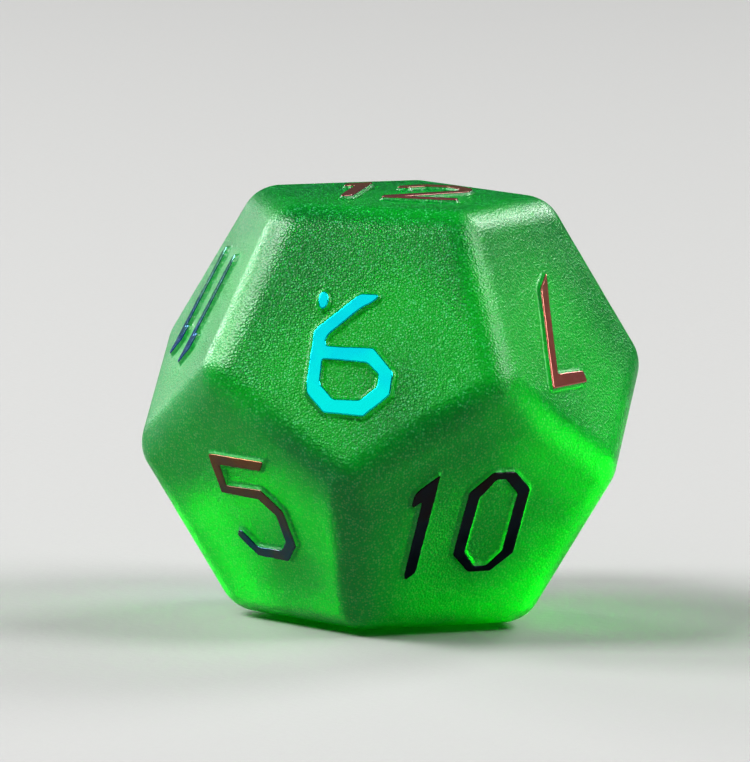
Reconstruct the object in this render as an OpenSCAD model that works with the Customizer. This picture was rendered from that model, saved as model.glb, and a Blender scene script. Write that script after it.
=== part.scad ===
// Twelve-sided game die in frosted glass, with raised numerals that carry a thin mirror film.
// It rests on the numeral 1, with +Z up, the 9 facing -Y and the origin under its centre.

/* [Glass] */
// Distance between two opposite flat faces of the glass
across_flats = 18.5; // [17:0.1:20]
// Radius that rounds every edge and corner
edge_r = 1.85; // [1.2:0.05:2.2]

/* [Numerals] */
// Height of a digit
digit_h = 5.3; // [4.6:0.1:5.6]
// How far the digits stand above the flat faces as clear glass
land_h = 0.16; // [0.1:0.01:0.3]
// Thickness of the mirror film on top of each digit
film_t = 0.04; // [0.03:0.01:0.08]

/* [Hidden] */

inradius = across_flats / 2;
centre_h = inradius + land_h + film_t; // height of the die's centre above what it rests on
face_tilt = atan(2); // angle between the normals of two faces that share an edge

// The smaller dodecahedron that a ball of the edge radius rolls around
core_inradius = inradius - edge_r;
core_edge = 2 * core_inradius / sqrt(5 / 2 + 11 / (2 * sqrt(5)));
core_face_r = core_edge / (2 * sin(36));
core_corner_r = norm([core_inradius, core_face_r]);
corner_steps = 8; // facets that round an edge from one face to the next

// Digits are drawn 57 units high, with x to the right, y up and the face's centre at 0
unit = digit_h / 57;
embed = 0.4; // depth at which a land starts inside the glass
point_steps = 24; // sides of the oval point

// Numerals of the upper ring of faces, counterclockwise from the front. The face opposite
// any numeral carries 13 less that numeral.
UPPER_RING = [9, 7, 8, 3, 11];

// Where a numeral's face is: the tilt of its normal from +Z, the normal's azimuth, and the
// turn that brings its digits upright, with a corner of the pentagon above them
function ring_place(numeral) = search(numeral, UPPER_RING)[0];
function place(numeral) =
  numeral == 12 ? [0, 270, 90] :
  numeral == 1 ? [180, 270, 90] :
  ring_place(numeral) != undef ? [face_tilt, 270 + 72 * ring_place(numeral), -90] :
  [180 - face_tilt, 90 + 72 * ring_place(13 - numeral), 90];

// The twelve faces' normals, and every three of them whose faces meet at a corner
function direction(tilt, azimuth) =
  [sin(tilt) * cos(azimuth), sin(tilt) * sin(azimuth), cos(tilt)];
NORMALS = [for (numeral = [1:12]) direction(place(numeral)[0], place(numeral)[1])];
function adjoin(a, b) = abs(NORMALS[a] * NORMALS[b] - cos(face_tilt)) < 0.001;
CORNERS = [
  for (a = [0:9], b = [a + 1:10], c = [b + 1:11])
    if (adjoin(a, b) && adjoin(b, c) && adjoin(a, c)) [NORMALS[a], NORMALS[b], NORMALS[c]]
];

// A rounded corner: the ball's surface between the three normals, in rows from the first one
function turned(from, to, part) =
  let (angle = acos(from * to))
  (from * sin((1 - part) * angle) + to * sin(part * angle)) / sin(angle);
function corner_direction(normals, row, step) =
  row == 0 ? normals[0] :
  turned(
    turned(normals[0], normals[1], row / corner_steps),
    turned(normals[0], normals[2], row / corner_steps),
    step / row
  );
function corner_points(normals) =
  let (sum = normals[0] + normals[1] + normals[2])
  [for (row = [0:corner_steps], step = [0:row])
    sum / norm(sum) * core_corner_r + edge_r * corner_direction(normals, row, step)];

// Flat outlines of the digits, each around its own middle
module digit_one()
  polygon([
    [4, 28.5], [2, 27], [-6, 19.5], [-7, 17], [-7, 11.5], [-6, 10.5], [-3, 13.5], [-2, 13.5],
    [-1.5, -27], [-0.5, -30.5], [0.5, -30], [4, -26.5],
  ]);

module digit_two()
  polygon([
    [-17.5, 13], [-17.5, 18], [-7, 28.5], [8, 28.5], [18, 18.5], [18, 7], [-9.5, -22.5],
    [18, -22.5], [18, -28], [-18, -28], [-18, -23], [12, 8], [12, 16], [5.5, 23], [-5, 23],
    [-12, 16], [-12, 13],
  ]);

module digit_three()
  polygon([
    [-15.5, 23.5], [-10.5, 28.5], [7.5, 28.5], [16.5, 19.5], [16.5, 8.5], [11, 2.5],
    [18, -4.5], [18, -19], [8.5, -28.5], [-8, -28.5], [-17.5, -19], [-17.5, -16],
    [-13.5, -16], [-6, -23.5], [6.5, -23.5], [12.5, -17.5], [12.5, -6.5], [6.5, -0.5],
    [-4, -0.5], [-4, 5], [6, 5], [11, 10], [11, 18], [6, 23], [-8.5, 23], [-12, 19.5],
  ]);

module digit_four()
  difference() {
    polygon([
      [3, 28.5], [10.5, 28.5], [10.5, -10.5], [18, -10.5], [18, -16], [10.5, -16],
      [10.5, -28.5], [4.5, -28.5], [4.5, -16], [-18, -16], [-18, -11],
    ]);
    polygon([[4.5, 21], [4.5, -10.5], [-11.5, -10.5]]);
  }

module digit_five()
  polygon([
    [-15, 31], [22.5, 31], [18, 25.5], [-9.5, 25.5], [-10, 14], [13.5, 14.5], [24, 4],
    [24.5, -15], [15.5, -24.5], [-4.5, -24], [-14, -14.5], [-14, -12.5], [-12.5, -11],
    [-10.5, -11], [-3, -19], [13, -19], [18.5, -13.5], [18.5, 1], [10, 9], [-15, 9.5],
  ]);

module digit_seven()
  polygon([
    [0, 30], [34.5, 29.5], [25, 12], [7.5, -19], [-3.5, -25.5], [5.5, -11], [20, 15],
    [24.5, 23], [0, 24],
  ]);

module digit_eight()
  difference() {
    polygon([
      [-8, 28.5], [8, 28.5], [15.5, 21], [15.5, 8.5], [10.5, 2.5], [17.5, -5], [17.5, -19.5],
      [8.5, -28.5], [-8.5, -28.5], [-17.5, -19.5], [-17.5, -5], [-10.5, 2.5], [-15.5, 8.5],
      [-15.5, 21],
    ]);
    polygon([
      [-5.5, 23], [5.5, 23], [10, 18.5], [10, 10], [4.5, 5.5], [-4.5, 5.5], [-10, 10],
      [-10, 18.5],
    ]);
    polygon([
      [-5, 0], [5, 0], [12, -7], [12, -17.5], [6.5, -23], [-6.5, -23], [-12, -17.5], [-12, -7],
    ]);
  }

module digit_nine()
  difference() {
    polygon([
      [-6, 42], [13, 41], [22, 31.5], [22.5, 27], [21.5, 1], [19, -2], [3, -17], [1, -18.5],
      [-7, -18.5], [-7.5, -17], [-5, -14.5], [0, -11.5], [14, 2], [15.5, 5], [15, 8],
      [-7.5, 8], [-9, 9.5], [-17.5, 19], [-18, 21], [-17.5, 31],
    ]);
    polygon([
      [-3.5, 34], [9, 34], [16, 27], [16, 14.5], [-5, 15.5], [-11, 21], [-11, 27],
    ]);
  }

module digit_zero()
  difference() {
    polygon([
      [-6.5, 17.5], [3.5, 28.5], [15, 28.5], [25, 18.5], [25, -17.5], [15, -27.5],
      [3.5, -27.5], [-6.5, -17.5],
    ]);
    polygon([
      [6, 24.5], [11, 24.5], [19, 16], [19, -16.5], [12.5, -24.5], [6, -24.5], [-1, -16],
      [-0.5, 14.5],
    ]);
  }

// The oval point that tells 6 from 9
module point()
  polygon([for (step = [1:point_steps])
    let (angle = 360 * step / point_steps) [2.4 * cos(angle), 4.6 * sin(angle)]]);

// Each island of film where it lies on its face
module one_alone() digit_one();
module two_alone() digit_two();
module three_alone() digit_three();
module four_alone() digit_four();
module five_alone() digit_five();
module six_alone() translate([-2, 13]) rotate(180) digit_nine();
module six_point() translate([24.5, -24]) point();
module seven_alone() digit_seven();
module eight_alone() digit_eight();
module nine_alone() digit_nine();
module nine_point() translate([18.5, -14.5]) point();
module ten_one() translate([-28, 0]) digit_one();
module ten_zero() digit_zero();
module eleven_left() translate([-12, 0]) digit_one();
module eleven_right() translate([19, 0]) digit_one();
module twelve_one() translate([-20, 0]) digit_one();
module twelve_two() translate([16, 0]) digit_two();

// Everything that a numeral's face carries
module numeral(n) {
  if (n == 1) one_alone();
  if (n == 2) two_alone();
  if (n == 3) three_alone();
  if (n == 4) four_alone();
  if (n == 5) five_alone();
  if (n == 6) { six_alone(); six_point(); }
  if (n == 7) seven_alone();
  if (n == 8) eight_alone();
  if (n == 9) { nine_alone(); nine_point(); }
  if (n == 10) { ten_one(); ten_zero(); }
  if (n == 11) { eleven_left(); eleven_right(); }
  if (n == 12) { twelve_one(); twelve_two(); }
}

// Puts an outline on a numeral's face and gives it height, both measured from the flat glass
module on_face(n, from, to)
  translate([0, 0, centre_h])
    rotate([0, 0, place(n)[1]]) rotate([0, place(n)[0], 0]) rotate([0, 0, place(n)[2]])
      translate([0, 0, inradius + from]) linear_extrude(to - from) scale(unit) children();

module film(n) on_face(n, land_h, land_h + film_t) children();

module rounded_block() {
  corners = [for (normals = CORNERS) corner_points(normals)];
  per_corner = len(corners[0]);
  hull()
    polyhedron(
      points = [for (points = corners) each points],
      faces = [for (corner = [0:len(corners) - 1])
        [for (i = [0:per_corner - 1]) corner * per_corner + i]]
    );
}

module glass_body()
  color("limegreen") union() {
    translate([0, 0, centre_h]) rounded_block();
    for (n = [1:12]) on_face(n, -embed, land_h) numeral(n);
  }

module numeral_1() color("slategray") film(1) one_alone();
module numeral_2() color("turquoise") film(2) two_alone();
module numeral_3() color("rosybrown") film(3) three_alone();
module numeral_4() color("slategray") film(4) four_alone();
module numeral_5() color("saddlebrown") film(5) five_alone();
module numeral_6() color("turquoise") film(6) six_alone();
module numeral_6_dot() color("turquoise") film(6) six_point();
module numeral_7() color("rosybrown") film(7) seven_alone();
module numeral_8() color("mediumpurple") film(8) eight_alone();
module numeral_9() color("turquoise") film(9) nine_alone();
module numeral_9_dot() color("turquoise") film(9) nine_point();
module numeral_10_one() color("darkslategray") film(10) ten_one();
module numeral_10_zero() color("darkslategray") film(10) ten_zero();
module numeral_11_left() color("mediumpurple") film(11) eleven_left();
module numeral_11_right() color("mediumpurple") film(11) eleven_right();
module numeral_12_one() color("rosybrown") film(12) twelve_one();
module numeral_12_two() color("rosybrown") film(12) twelve_two();

glass_body();
numeral_1();
numeral_2();
numeral_3();
numeral_4();
numeral_5();
numeral_6();
numeral_6_dot();
numeral_7();
numeral_8();
numeral_9();
numeral_9_dot();
numeral_10_one();
numeral_10_zero();
numeral_11_left();
numeral_11_right();
numeral_12_one();
numeral_12_two();
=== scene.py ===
"""Looks for a twelve-sided die in frosted green glass with mirror-film numerals."""
import math

import bmesh
import bpy
import numpy as np
from mathutils import Matrix, Vector, noise
from mathutils.geometry import delaunay_2d_cdt


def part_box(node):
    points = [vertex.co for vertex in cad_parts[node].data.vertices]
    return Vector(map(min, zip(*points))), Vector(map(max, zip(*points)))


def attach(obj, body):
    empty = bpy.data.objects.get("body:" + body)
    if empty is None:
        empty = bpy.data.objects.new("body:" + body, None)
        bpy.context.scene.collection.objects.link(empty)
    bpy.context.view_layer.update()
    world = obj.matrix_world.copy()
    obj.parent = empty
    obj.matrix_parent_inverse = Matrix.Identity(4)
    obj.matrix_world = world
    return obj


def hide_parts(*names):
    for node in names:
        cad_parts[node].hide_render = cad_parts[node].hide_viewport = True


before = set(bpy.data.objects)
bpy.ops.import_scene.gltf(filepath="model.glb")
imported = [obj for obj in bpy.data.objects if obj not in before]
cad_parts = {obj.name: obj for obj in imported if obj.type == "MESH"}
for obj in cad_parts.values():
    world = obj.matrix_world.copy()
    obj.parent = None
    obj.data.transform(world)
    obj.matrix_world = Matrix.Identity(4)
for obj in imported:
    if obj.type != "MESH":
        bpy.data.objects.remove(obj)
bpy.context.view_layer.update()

MM = 0.001

# ---- The die's dimensions, in millimetres -------------------------------------------------
LAND_H = 0.16         # how far the digits stand above the flat glass
EMBED = 0.01          # how far a film's underside sinks into the glass it covers
EDGE_SHARE = 0.2      # edge radius as a share of the inradius
LOWEST_FILM, TOP_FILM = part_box("numeral_1"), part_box("numeral_12_one")
FILM_T = (TOP_FILM[1].z - TOP_FILM[0].z) / MM
DIE_H = (TOP_FILM[1].z - LOWEST_FILM[0].z) / MM
CENTRE = np.array([0.0, 0.0, DIE_H / 2])
INRADIUS = DIE_H / 2 - LAND_H - FILM_T
EDGE_R = EDGE_SHARE * INRADIUS
FACE_TILT = math.atan(2)           # angle between the normals of neighbouring faces
FACE_TURN = 72.0                   # degrees from one face of a ring to the next
CORE_INRADIUS = INRADIUS - EDGE_R  # the dodecahedron that a ball of EDGE_R rolls around

# ---- How finely it is meshed, in millimetres or counts ------------------------------------
SAME = 1e-6           # numbers nearer than this are equal
WELD = 1e-4           # points nearer than this are one
FACING = 0.9          # least cosine between a numeral's face and what lies along it
OUTLINE_STEP = 0.06   # spacing of points along a digit's outline
CORNER_SOFTENING = 3  # smoothing passes that round a digit's corners
# How far the film's edge wanders, and how many times a millimetre: finely and broadly
RAGGED_FINE, RAGGED_BROAD = (0.010, 9), (0.014, 2)
BROAD_SEED = 40       # keeps the broad wandering apart from the fine
WALL_W = 0.15         # width of the sloping wall around a digit
WALL_CURVE = 1.7      # how hollow its slope is: 1 is straight
TOP_ROUND = 0.014     # drop of the rounded rim of a digit's top
RIM_W = 0.035         # width of that rim
FILM_TAPER = 0.7      # share of its thickness that a film loses towards its edge
RINGS = (-0.055, -RIM_W, 0.025, 0.05, 0.08, 0.115, 0.15, 0.22)  # distances from the outline
COARSE_RING = 0.1     # rings further out than this have half the points
RING_SLACK = 0.004    # a ring's point this far out of place belongs to another outline
ON_OUTLINE = 1e-4     # a point this near to an outline lies on it
GRID_STEP = 0.7       # spacing of points on the open flat glass
GRID_CLEAR = 0.2      # gap between that grid and the last ring
BORDER_CLEAR = 0.35   # and between that grid and the face's border
BORDER_RING = 0.1     # distance of a ring of points inside the border
EDGE_ARC_STEPS = 14   # strips around a rounded edge
EDGE_RUN_STEPS = 20   # strips along it
EDGE_WANDER = 0.012   # how far the rounded edges wander from true
WANDER_RATE = 1.3     # and how many times a millimetre
CHUNK = 2000          # points measured at a time

UPPER_RING = (9, 7, 8, 3, 11)  # numerals of the upper faces, counterclockwise from the front
OPPOSITE_SUM = 13              # numerals on opposite faces add up to this

FILM_NODES = {
    1: ("numeral_1",), 2: ("numeral_2",), 3: ("numeral_3",), 4: ("numeral_4",),
    5: ("numeral_5",), 6: ("numeral_6", "numeral_6_dot"), 7: ("numeral_7",),
    8: ("numeral_8",), 9: ("numeral_9", "numeral_9_dot"),
    10: ("numeral_10_one", "numeral_10_zero"),
    11: ("numeral_11_left", "numeral_11_right"),
    12: ("numeral_12_one", "numeral_12_two"),
}

# ---- Looks ---------------------------------------------------------------------------------
GLASS_CLARITY = 0.91            # share of the light that enters the glass
FLECK_CLARITY = 0.62            # and that enters a pale fleck of its grain
GLASS_IOR = 1.5
GLASS_GLOSS = 0.25              # how strongly the blasted surface reflects
GLASS_ROUGHNESS = (0.30, 0.36)  # least and most
PATCH_SIZE = 3.0                # size of its smoother and rougher patches, in millimetres
GLASS_PASSES = (0.0, 0.95, 0.0)  # what the glass lets through, red, green and blue
GLASS_DENSITY = 300.0           # per metre
GRAIN_SIZE = 0.10               # sandblasted pits, in millimetres
GRAIN_DEPTH = 0.017
PIT_MIDDLE = (0.25, 0.6)        # where a pit's pale middle starts and stops fading, in pits
PALE_PITS = (0.35, 1.0)         # random values where pits start to be pale and fully are
WAVE_SIZE, WAVE_DEPTH = 0.9, 0.010  # broad unevenness, in millimetres
# Colours of the blasted surface, plain and in its pale flecks
GRAIN_DARK, GRAIN_PALE = (0.005, 0.74, 0.26), (0.27, 0.90, 0.57)
WALL_PAINTED_HIGHLIGHT = 0.15            # painted highlight: extra paleness on the digits' walls, so that their lit edges look pale
WALL_FADE = (0.05, 0.5)         # heights on a wall between which it grows, as a share of LAND_H

# Colours of a film from the foot of its numeral to the head
CYAN = ((0.0, 0.62, 0.64), (0.0, 0.56, 0.63), (0.0, 0.66, 0.62))
ROSE = ((0.46, 0.20, 0.15), (0.50, 0.18, 0.14), (0.46, 0.17, 0.15))
BROWN = ((0.01, 0.08, 0.13), (0.09, 0.08, 0.07), (0.19, 0.09, 0.045))
# Painted shade: the film on the 10 is made nearly black, for the dark surroundings that its
# mirror reflects
PAINTED_DARK_REFLECTION = ((0.006, 0.012, 0.02), (0.02, 0.03, 0.04), (0.03, 0.02, 0.02))
VIOLET = ((0.10, 0.16, 0.34), (0.08, 0.20, 0.26), (0.16, 0.20, 0.30))
PLUM = ((0.25, 0.09, 0.09), (0.20, 0.10, 0.08), (0.22, 0.11, 0.07))
TEAL = ((0.08, 0.28, 0.20), (0.05, 0.20, 0.24), (0.03, 0.10, 0.30))
SLATE = ((0.05, 0.09, 0.12), (0.08, 0.12, 0.15), (0.10, 0.10, 0.12))
FILM_LOOKS = {
    1: ("film_slate", SLATE), 2: ("film_cyan", CYAN), 3: ("film_rose", ROSE),
    4: ("film_slate", SLATE), 5: ("film_brown", BROWN), 6: ("film_cyan", CYAN),
    7: ("film_rose", ROSE), 8: ("film_violet", VIOLET), 9: ("film_cyan", CYAN),
    10: ("film_dark", PAINTED_DARK_REFLECTION), 11: ("film_violet", TEAL), 12: ("film_rose", PLUM),
}
FILM_MIRROR = 0.85                                # how much of a mirror a film is
DULL_FILMS = {5: 0.75, 7: 0.6, 11: 0.5, 12: 0.4}  # and what the duller ones still are
FILM_FOOT, FILM_HEAD = -2.6, 3.0  # reach of the colours from the die's centre, in millimetres
DRIFT_SIZE, DRIFT = 1.2, 0.3      # how broadly and how far the colours stray
SMEAR_SIZE, SMEAR_DEPTH = 0.35, 0.004
FILM_ROUGHNESS = (0.10, 0.26)

# ---- Stage: angles in degrees, azimuth 0 along +X and -90 towards the front ----------------
FLOOR_HALF = 1.5  # metres
FLOOR_GAP = 0.01  # millimetres between the floor and the die
FLOOR_COLOUR = (0.38, 0.38, 0.375)
FLOOR_ROUGHNESS = 0.7
TOOTH_SIZE, TOOTH_DEPTH = 0.5, 0.02  # millimetres
LIGHT_DISTANCE = 0.6                 # metres
# azimuth, elevation, size in metres, irradiance at the die
LIGHTS = {
    "left_light": (177, 36, 0.22, 1.45),
    "upper_left_light": (-150, 48, 0.20, 2.1),
    "front_light": (-108, 45, 0.32, 0.25),
    "right_light": (4, 42, 0.26, 1.7),
    "low_right_light": (-20, 8, 0.14, 0.2),
    "back_right_light": (60, 33, 0.20, 1.12),
    "back_left_light": (141, 18, 0.20, 0.9),
}
WORLD_COLOUR = (0.035, 0.035, 0.035)
CAMERA_AZIMUTH, CAMERA_ELEVATION, CAMERA_ROLL = -80.21, 7.58, 1.28
CAMERA_DISTANCE = 57.8              # in inradii
AIM_RIGHT, AIM_UP = -0.0777, 0.1025  # of an inradius, from the die's centre
LENS, SENSOR = 573.5, 36.0          # millimetres
CLIP_START = 0.01                   # metres


def face_axes(numeral):
    """Right, up and outward unit vectors of a face, with its numeral upright."""
    if numeral == 12:
        tilt, azimuth = 0.0, -90.0
    elif numeral == 1:
        tilt, azimuth = math.pi, -90.0
    elif numeral in UPPER_RING:
        tilt, azimuth = FACE_TILT, -90.0 + FACE_TURN * UPPER_RING.index(numeral)
    else:
        opposite = UPPER_RING.index(OPPOSITE_SUM - numeral)
        tilt, azimuth = math.pi - FACE_TILT, 90.0 + FACE_TURN * opposite
    azimuth = math.radians(azimuth)
    sideways = np.array([math.cos(azimuth), math.sin(azimuth), 0.0])
    vertical = np.array([0.0, 0.0, 1.0])
    out = sideways * math.sin(tilt) + vertical * math.cos(tilt)
    downhill = sideways * math.cos(tilt) - vertical * math.sin(tilt)
    up = downhill if numeral in UPPER_RING else -downhill
    return np.cross(up, out), up, out


AXES = {numeral: face_axes(numeral) for numeral in range(1, 13)}


def neighbours(numeral):
    """The five faces that share an edge with this one, counterclockwise seen from outside."""
    right, up, out = AXES[numeral]
    near = [m for m in AXES if abs(AXES[m][2] @ out - math.cos(FACE_TILT)) < SAME]
    return sorted(near, key=lambda m: math.atan2(AXES[m][2] @ up, AXES[m][2] @ right))


def core_corner(*numerals):
    """Where three faces of the inner dodecahedron meet."""
    planes = np.array([AXES[m][2] for m in numerals])
    return np.linalg.solve(planes, np.full(3, CORE_INRADIUS))


def turned(start, end, part):
    """Unit vector part of the way from one unit vector to another, which points elsewhere."""
    angle = math.acos(float(start @ end))
    return (start * math.sin((1 - part) * angle) + end * math.sin(part * angle)) / math.sin(angle)


# ---- Digit outlines, read from the frame ---------------------------------------------------
def film_loops(node, numeral):
    """Closed outlines of a film's top, as points on its face in millimetres."""
    right, up, out = AXES[numeral]
    mesh = bmesh.new()
    mesh.from_mesh(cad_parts[node].data)
    bmesh.ops.remove_doubles(mesh, verts=mesh.verts, dist=WELD * MM)
    following = {}
    for face in mesh.faces:
        if face.normal.dot(Vector(out)) < FACING:
            continue
        for loop in face.loops:
            if any(other.normal.dot(Vector(out)) < FACING for other in loop.edge.link_faces):
                following[loop.vert] = loop.link_loop_next.vert
    loops = []
    while following:
        vert, loop = next(iter(following)), []
        while vert in following:
            loop.append(vert)
            vert = following.pop(vert)
        points = np.array([v.co for v in loop]) / MM - CENTRE
        loops.append(np.column_stack([points @ right, points @ up]))
    mesh.free()
    return loops


def evenly(points, step):
    """A closed outline resampled at an even step."""
    closed = np.vstack([points, points[:1]])
    along = np.concatenate([[0], np.cumsum(np.linalg.norm(np.diff(closed, axis=0), axis=1))])
    wanted = np.linspace(0, along[-1], round(along[-1] / step), endpoint=False)
    return np.column_stack([np.interp(wanted, along, closed[:, k]) for k in (0, 1)])


def outward(points):
    """Unit vectors across a closed outline, away from the film (which lies on its left)."""
    along = np.roll(points, -1, axis=0) - np.roll(points, 1, axis=0)
    across = np.column_stack([along[:, 1], -along[:, 0]])
    return across / np.linalg.norm(across, axis=1, keepdims=True)


def ragged(points, seed):
    """The outline with soft corners and the slightly uneven edge that blasting leaves."""
    points = evenly(points, OUTLINE_STEP)
    for _ in range(CORNER_SOFTENING):
        points = (np.roll(points, 1, axis=0) + 2 * points + np.roll(points, -1, axis=0)) / 4
    (fine, fine_rate), (broad, broad_rate) = RAGGED_FINE, RAGGED_BROAD
    shift = [
        fine * noise.noise(Vector((x * fine_rate, y * fine_rate, seed)))
        + broad * noise.noise(Vector((x * broad_rate, y * broad_rate, seed + BROAD_SEED)))
        for x, y in points
    ]
    return points + outward(points) * np.array(shift)[:, None]


def signed_distance(points, loops):
    """Distance of each point from the nearest outline: below zero inside the film."""
    best = np.full(len(points), np.inf)
    inside = np.zeros(len(points), bool)
    for loop in loops:
        ends = np.roll(loop, -1, axis=0)
        for first in range(0, len(points), CHUNK):
            part = slice(first, first + CHUNK)
            p = points[part, None]
            run = ends - loop
            t = np.clip(((p - loop) * run).sum(2) / (run * run).sum(1), 0, 1)
            gap = np.linalg.norm(p - loop - t[..., None] * run, axis=2).min(1)
            best[part] = np.minimum(best[part], gap)
            y = p[..., 1]
            spans = (loop[:, 1] > y) != (ends[:, 1] > y)
            rise = np.where(run[:, 1] == 0, 1, run[:, 1])
            crossing = loop[:, 0] + (y - loop[:, 1]) / rise * run[:, 0]
            inside[part] ^= (spans & (p[..., 0] < crossing)).sum(1) % 2 == 1
    return np.where(inside, -best, best)


def land_height(distance):
    """Height of the glass above the flat face at a signed distance from a digit's edge."""
    rim = TOP_ROUND * np.clip(1 + distance / RIM_W, 0, 1) ** 2
    slope = np.clip(1 - distance / WALL_W, 0, 1) ** WALL_CURVE
    return np.where(distance < 0, LAND_H - rim, (LAND_H - TOP_ROUND) * slope)


# ---- Mesh of the glass and the films -------------------------------------------------------
def wandered(point, direction):
    """A point of a rounded edge, moved a little off true; nothing moves where a face begins."""
    nearest = max(float(direction @ AXES[m][2]) for m in AXES)
    share = min(1.0, (1 - nearest) / (1 - math.cos(FACE_TILT / 2)))
    return point + direction * EDGE_WANDER * share * noise.noise(Vector(point * WANDER_RATE))


def pentagon(numeral):
    """Boundary of a flat face, evenly divided, as points on the face in millimetres."""
    right, up, _ = AXES[numeral]
    around = neighbours(numeral)
    corners = [core_corner(numeral, around[k], around[(k + 1) % 5]) for k in range(5)]
    flat = np.array([[corner @ right, corner @ up] for corner in corners])
    steps = np.arange(EDGE_RUN_STEPS)[:, None] / EDGE_RUN_STEPS
    return np.vstack([flat[k - 1] * (1 - steps) + flat[k] * steps for k in range(5)])


def open_points(border, loops):
    """Loose points on a face: rings that follow the digits' edges, and a grid between them."""
    rings = [border * (1 - BORDER_RING / np.linalg.norm(border, axis=1).min())]
    for distance in RINGS:
        every = 2 if distance > COARSE_RING else 1
        for loop in loops:
            ring = (loop + outward(loop) * distance)[::every]
            slack = np.abs(signed_distance(ring, loops) - distance)
            rings.append(ring[slack < RING_SLACK])
    reach = np.arange(-INRADIUS, INRADIUS, GRID_STEP)
    grid = np.array([
        (x + (row % 2) * GRID_STEP / 2, y * math.sqrt(0.75))
        for row, y in enumerate(reach) for x in reach
    ])
    clear = signed_distance(grid, loops) > RINGS[-1] + GRID_CLEAR
    inside = signed_distance(grid, [border]) < -BORDER_CLEAR
    return np.vstack(rings + [grid[clear & inside]])


def face_mesh(numeral):
    """A flat face with its raised digits: flat points, their signed distances from the digits'
    edges, triangles, and the triangles under each film."""
    border = pentagon(numeral)
    loops = {
        node: [ragged(loop, numeral) for loop in film_loops(node, numeral)]
        for node in FILM_NODES[numeral]
    }
    every_loop = [loop for node in loops for loop in loops[node]]
    fixed, edges, first = [border] + every_loop, [], 0
    for loop in fixed:
        edges += [(first + k, first + (k + 1) % len(loop)) for k in range(len(loop))]
        first += len(loop)
    points = np.vstack(fixed + [open_points(border, every_loop)])
    corner_face = [list(range(len(border)))]
    points, _, triangles, _, _, _ = delaunay_2d_cdt(
        [Vector(p) for p in points], edges, corner_face, 1, SAME
    )
    points = np.array([tuple(p) for p in points])
    triangles = np.array([tuple(t) for t in triangles])
    distance = signed_distance(points, every_loop)
    distance[np.abs(distance) < ON_OUTLINE] = 0.0
    middles = points[triangles].mean(axis=1)
    under = {node: triangles[signed_distance(middles, loops[node]) < 0] for node in loops}
    return points, distance, triangles, under


def raised(numeral, points, heights):
    """Points on a face, with heights above it, as places in space."""
    right, up, out = AXES[numeral]
    heights = np.asarray(heights)[:, None]
    return CENTRE + points[:, :1] * right + points[:, 1:] * up + (INRADIUS + heights) * out


def new_mesh(name, points, faces):
    """A smooth-shaded closed mesh from places in millimetres."""
    mesh = bmesh.new()
    verts = [mesh.verts.new(p) for p in np.asarray(points) * MM]
    for face in faces:
        mesh.faces.new([verts[int(k)] for k in face])
    bmesh.ops.remove_doubles(mesh, verts=mesh.verts, dist=WELD * MM)
    bmesh.ops.recalc_face_normals(mesh, faces=mesh.faces)
    for face in mesh.faces:
        face.smooth = True
    data = bpy.data.meshes.new(name)
    mesh.to_mesh(data)
    mesh.free()
    piece = bpy.data.objects.new(name, data)
    bpy.context.scene.collection.objects.link(piece)
    return piece


def edge_strips(a, b):
    """The rounded edge between two faces."""
    ends = [core_corner(a, b, m) for m in neighbours(a) if m in neighbours(b)]
    points = []
    for arc in range(EDGE_ARC_STEPS + 1):
        direction = turned(AXES[a][2], AXES[b][2], arc / EDGE_ARC_STEPS)
        for run in range(EDGE_RUN_STEPS + 1):
            axis = ends[0] + (ends[1] - ends[0]) * run / EDGE_RUN_STEPS
            points.append(CENTRE + wandered(axis + EDGE_R * direction, direction))
    row = EDGE_RUN_STEPS + 1
    faces = [
        (k, k + 1, k + row + 1, k + row)
        for arc in range(EDGE_ARC_STEPS)
        for k in range(arc * row, arc * row + EDGE_RUN_STEPS)
    ]
    return points, faces


def corner_patch(a, b, c):
    """The piece of a ball where three faces meet."""
    middle = core_corner(a, b, c)
    first, second, third = (AXES[m][2] for m in (a, b, c))
    points, faces = [], []
    for row in range(EDGE_ARC_STEPS + 1):
        left = turned(first, second, row / EDGE_ARC_STEPS)
        right = turned(first, third, row / EDGE_ARC_STEPS)
        for step in range(row + 1):
            direction = turned(left, right, step / row) if row else first
            points.append(CENTRE + wandered(middle + EDGE_R * direction, direction))
        start, above = row * (row + 1) // 2, row * (row - 1) // 2
        faces += [(above + k, start + k, start + k + 1) for k in range(row)]
        faces += [(above + k, start + k + 1, above + k + 1) for k in range(row - 1)]
    return points, faces


def mark_walls(glass):
    """A value for the material: how high each place stands on the wall of a digit, 0 to 1, by
    which it paints a highlight on the walls.
    """
    places = np.array([vert.co for vert in glass.data.vertices]) / MM - CENTRE
    outs = np.array([AXES[m][2] for m in AXES])
    rise = (places @ outs.T).max(axis=1) - INRADIUS
    wall = glass.data.attributes.new("wall", "FLOAT", "POINT")
    wall.data.foreach_set("value", np.clip(rise / LAND_H, 0, 1).astype(np.float32))


def build_films(numeral, points, distance, under):
    """The film on each digit of a face, seated on the glass."""
    heights = land_height(distance)
    rim = np.clip(1 + distance / RIM_W, 0, 1) ** 2
    top = raised(numeral, points, heights + FILM_T * (1 - FILM_TAPER * rim))
    bottom = raised(numeral, points, heights - EMBED)
    films = []
    for node, triangles in under.items():
        used = np.unique(triangles)
        place = {old: new for new, old in enumerate(used)}
        caps = [tuple(place[k] for k in triangle) for triangle in triangles]
        sides = [side for face in caps for side in zip(face, face[1:] + face[:1])]
        shared = {(end, start) for start, end in sides}
        low = len(used)
        faces = caps + [tuple(low + k for k in reversed(face)) for face in caps]
        faces += [
            (end, start, low + start, low + end)
            for start, end in sides if (start, end) not in shared
        ]
        film = new_mesh("film_" + node, np.vstack([top[used], bottom[used]]), faces)
        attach(film, "root")
        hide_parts(node)
        films.append(film)
    return films


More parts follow.
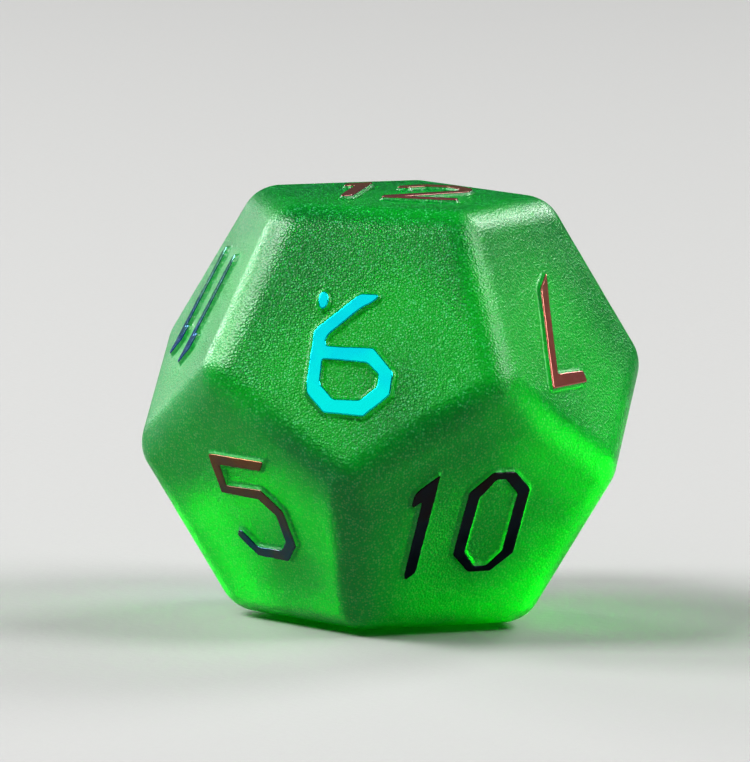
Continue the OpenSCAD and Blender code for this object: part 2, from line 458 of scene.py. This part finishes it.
def build_die():
    """The glass block, and the films of each numeral by its number."""
    films, points, faces, count = {}, [], [], 0

    def add(some_points, some_faces):
        nonlocal count
        points.append(np.asarray(some_points))
        faces.extend(tuple(count + int(k) for k in face) for face in some_faces)
        count += len(some_points)

    for numeral in AXES:
        flat, distance, triangles, under = face_mesh(numeral)
        add(raised(numeral, flat, land_height(distance)), triangles)
        films[numeral] = build_films(numeral, flat, distance, under)
    for a in AXES:
        for b in [m for m in neighbours(a) if m > a]:
            add(*edge_strips(a, b))
            for c in [m for m in neighbours(a) if m > b and m in neighbours(b)]:
                add(*corner_patch(a, b, c))
    glass = new_mesh("die_glass", np.vstack(points), faces)
    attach(glass, "root")
    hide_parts("glass_body")
    mark_walls(glass)
    return glass, films


# ---- Materials -----------------------------------------------------------------------------
def new_material(name):
    """An empty node material, with its output, its nodes and its links."""
    material = bpy.data.materials.new(name)
    material.use_nodes = True
    nodes, links = material.node_tree.nodes, material.node_tree.links
    nodes.clear()
    output = nodes.new("ShaderNodeOutputMaterial")
    return material, output, nodes, links


def object_noise(nodes, links, size, detail=2.0):
    """Noise in the die's own space, with features of a size in millimetres."""
    where = nodes.new("ShaderNodeTexCoord")
    texture = nodes.new("ShaderNodeTexNoise")
    texture.inputs["Scale"].default_value = 1 / (size * MM)
    texture.inputs["Detail"].default_value = detail
    texture.inputs["Roughness"].default_value = 0.5
    links.new(where.outputs["Object"], texture.inputs["Vector"])
    return texture.outputs["Fac"]


def mapped(nodes, links, value, low, high, start=0.3, end=0.7):
    """A value from start to end, mapped from low to high. Noise mostly keeps to 0.3 to 0.7."""
    node = nodes.new("ShaderNodeMapRange")
    node.inputs["From Min"].default_value = start
    node.inputs["From Max"].default_value = end
    node.inputs["To Min"].default_value = low
    node.inputs["To Max"].default_value = high
    links.new(value, node.inputs["Value"])
    return node.outputs["Result"]


def bumped(nodes, links, height, distance, normal=None):
    """A bump whose full height is a distance in millimetres."""
    node = nodes.new("ShaderNodeBump")
    node.inputs["Strength"].default_value = 1.0
    node.inputs["Distance"].default_value = distance * MM
    links.new(height, node.inputs["Height"])
    if normal:
        links.new(normal, node.inputs["Normal"])
    return node.outputs["Normal"]


def blasted_grain(nodes, links):
    """The pits that blasting leaves: how far from a pit's middle, and which ones are pale."""
    where = nodes.new("ShaderNodeTexCoord")
    pits = nodes.new("ShaderNodeTexVoronoi")
    pits.inputs["Scale"].default_value = 1 / (GRAIN_SIZE * MM)
    links.new(where.outputs["Object"], pits.inputs["Vector"])
    chance = nodes.new("ShaderNodeSeparateColor")
    links.new(pits.outputs["Color"], chance.inputs["Color"])
    middle = mapped(nodes, links, pits.outputs["Distance"], 1, 0, *PIT_MIDDLE)
    chosen = mapped(nodes, links, chance.outputs["Red"], 0, 1, *PALE_PITS)
    pale = nodes.new("ShaderNodeMath")
    pale.operation = "MULTIPLY"
    links.new(middle, pale.inputs[0])
    links.new(chosen, pale.inputs[1])
    return pits.outputs["Distance"], pale.outputs["Value"]


def frosted_glass():
    """Green glass through and through, with a fine sandblasted surface."""
    material, output, nodes, links = new_material("frosted_green_glass")
    shader = nodes.new("ShaderNodeBsdfPrincipled")
    shader.inputs["IOR"].default_value = GLASS_IOR
    shader.inputs["Specular IOR Level"].default_value = GLASS_GLOSS
    grain, fleck = blasted_grain(nodes, links)
    patches = object_noise(nodes, links, PATCH_SIZE)
    tint = nodes.new("ShaderNodeMix")
    tint.data_type = "RGBA"
    tint.inputs["A"].default_value = (*GRAIN_DARK, 1)
    tint.inputs["B"].default_value = (*GRAIN_PALE, 1)
    # Painted highlight: the digits' walls are made paler higher up the wall, so that their lit
    # edges show pale
    wall = nodes.new("ShaderNodeAttribute")
    wall.attribute_name = "wall"
    painted_wall_highlight = mapped(nodes, links, wall.outputs["Fac"], 0, WALL_PAINTED_HIGHLIGHT, *WALL_FADE)
    pale = nodes.new("ShaderNodeMath")
    pale.operation = "MAXIMUM"
    links.new(fleck, pale.inputs[0])
    links.new(painted_wall_highlight, pale.inputs[1])
    links.new(pale.outputs["Value"], tint.inputs["Factor"])
    clear = mapped(nodes, links, pale.outputs["Value"], GLASS_CLARITY, FLECK_CLARITY, 0, 1)
    links.new(clear, shader.inputs["Transmission Weight"])
    links.new(tint.outputs["Result"], shader.inputs["Base Color"])
    links.new(mapped(nodes, links, patches, *GLASS_ROUGHNESS), shader.inputs["Roughness"])
    broad = bumped(nodes, links, object_noise(nodes, links, WAVE_SIZE), WAVE_DEPTH)
    links.new(bumped(nodes, links, grain, GRAIN_DEPTH, broad), shader.inputs["Normal"])
    links.new(shader.outputs["BSDF"], output.inputs["Surface"])
    inside = nodes.new("ShaderNodeVolumeAbsorption")
    inside.inputs["Color"].default_value = (*GLASS_PASSES, 1)
    inside.inputs["Density"].default_value = GLASS_DENSITY
    links.new(inside.outputs["Volume"], output.inputs["Volume"])
    return material


def mirror_film(name, ends, numeral, mirror):
    """Iridescent mirror film, its colour running from the foot to the head of a numeral."""
    material, output, nodes, links = new_material(name)
    shader = nodes.new("ShaderNodeBsdfPrincipled")
    shader.inputs["Metallic"].default_value = mirror
    where = nodes.new("ShaderNodeTexCoord")
    along = nodes.new("ShaderNodeVectorMath")
    along.operation = "DOT_PRODUCT"
    up = AXES[numeral][1]
    along.inputs[1].default_value = tuple(up)
    links.new(where.outputs["Object"], along.inputs[0])
    middle = float(CENTRE @ up) * MM
    reach = (middle + FILM_FOOT * MM, middle + FILM_HEAD * MM)
    place = mapped(nodes, links, along.outputs["Value"], 0, 1, *reach)
    drift = mapped(nodes, links, object_noise(nodes, links, DRIFT_SIZE, detail=3), -DRIFT, DRIFT)
    total = nodes.new("ShaderNodeMath")
    total.operation = "ADD"
    links.new(place, total.inputs[0])
    links.new(drift, total.inputs[1])
    ramp = nodes.new("ShaderNodeValToRGB")
    stops = ramp.color_ramp.elements
    for k, colour in enumerate(ends):
        position = k / (len(ends) - 1)
        stop = stops[k] if k < len(stops) else stops.new(position)
        stop.position = position
        stop.color = (*colour, 1)
    links.new(total.outputs["Value"], ramp.inputs["Fac"])
    links.new(ramp.outputs["Color"], shader.inputs["Base Color"])
    smear = object_noise(nodes, links, SMEAR_SIZE, detail=4)
    links.new(mapped(nodes, links, smear, *FILM_ROUGHNESS), shader.inputs["Roughness"])
    links.new(bumped(nodes, links, smear, SMEAR_DEPTH), shader.inputs["Normal"])
    links.new(shader.outputs["BSDF"], output.inputs["Surface"])
    return material


def pale_floor():
    """Smooth pale board with a very fine tooth."""
    material, output, nodes, links = new_material("pale_floor")
    shader = nodes.new("ShaderNodeBsdfPrincipled")
    shader.inputs["Base Color"].default_value = (*FLOOR_COLOUR, 1)
    shader.inputs["Roughness"].default_value = FLOOR_ROUGHNESS
    tooth = object_noise(nodes, links, TOOTH_SIZE, detail=3)
    links.new(bumped(nodes, links, tooth, TOOTH_DEPTH), shader.inputs["Normal"])
    links.new(shader.outputs["BSDF"], output.inputs["Surface"])
    return material


def build_floor():
    """A wide flat floor just under the die."""
    mesh = bmesh.new()
    bmesh.ops.create_grid(mesh, x_segments=1, y_segments=1, size=FLOOR_HALF)
    data = bpy.data.meshes.new("floor")
    mesh.to_mesh(data)
    mesh.free()
    floor = bpy.data.objects.new("floor", data)
    bpy.context.scene.collection.objects.link(floor)
    floor.data.materials.append(pale_floor())
    floor.location.z = -FLOOR_GAP * MM


# ---- Light and camera ----------------------------------------------------------------------
def direction_of(azimuth, elevation):
    """Unit vector towards an azimuth and elevation in degrees."""
    azimuth, elevation = math.radians(azimuth), math.radians(elevation)
    level = math.cos(elevation)
    return Vector((level * math.cos(azimuth), level * math.sin(azimuth), math.sin(elevation)))


def soft_light(name, azimuth, elevation, size, irradiance):
    """A square soft light facing the die; its size is in metres."""
    data = bpy.data.lights.new(name, "AREA")
    data.shape = "SQUARE"
    data.size = size
    data.energy = irradiance * math.pi * LIGHT_DISTANCE ** 2
    light = bpy.data.objects.new(name, data)
    toward = direction_of(azimuth, elevation)
    light.location = Vector(CENTRE * MM) + toward * LIGHT_DISTANCE
    light.rotation_euler = toward.to_track_quat("Z", "Y").to_euler()
    bpy.context.scene.collection.objects.link(light)


def build_lights():
    """The soft lights, and the dim even light of the studio around them."""
    for name, setting in LIGHTS.items():
        soft_light(name, *setting)
    world = bpy.data.worlds.new("studio")
    world.use_nodes = True
    world.node_tree.nodes["Background"].inputs["Color"].default_value = (*WORLD_COLOUR, 1)
    bpy.context.scene.world = world


def build_camera():
    """A long lens, a little above and to the right of the front face, rolled slightly."""
    centre = Vector(CENTRE * MM)
    back = direction_of(CAMERA_AZIMUTH, CAMERA_ELEVATION)
    right = (-back).cross(Vector((0, 0, 1))).normalized()
    up = right.cross(-back)
    place = centre + back * CAMERA_DISTANCE * INRADIUS * MM
    aim = centre + (right * AIM_RIGHT + up * AIM_UP) * INRADIUS * MM
    sight = (aim - place).to_track_quat("-Z", "Y")
    data = bpy.data.cameras.new("camera")
    data.lens = LENS
    data.sensor_width = SENSOR
    data.clip_start = CLIP_START
    camera = bpy.data.objects.new("camera", data)
    roll = Matrix.Rotation(math.radians(CAMERA_ROLL), 4, "Z")
    camera.matrix_world = Matrix.Translation(place) @ sight.to_matrix().to_4x4() @ roll
    bpy.context.scene.collection.objects.link(camera)
    bpy.context.scene.camera = camera


build_camera()
glass, films = build_die()
glass.data.materials.append(frosted_glass())
for numeral, pieces in films.items():
    slot, colours = FILM_LOOKS[numeral]
    mirror = DULL_FILMS.get(numeral, FILM_MIRROR)
    material = mirror_film(f"{slot}_{numeral}", colours, numeral, mirror)
    for piece in pieces:
        piece.data.materials.append(material)
build_floor()
build_lights()
bpy.context.scene.view_settings.view_transform = "Standard"
bpy.context.scene.view_settings.look = "High Contrast"
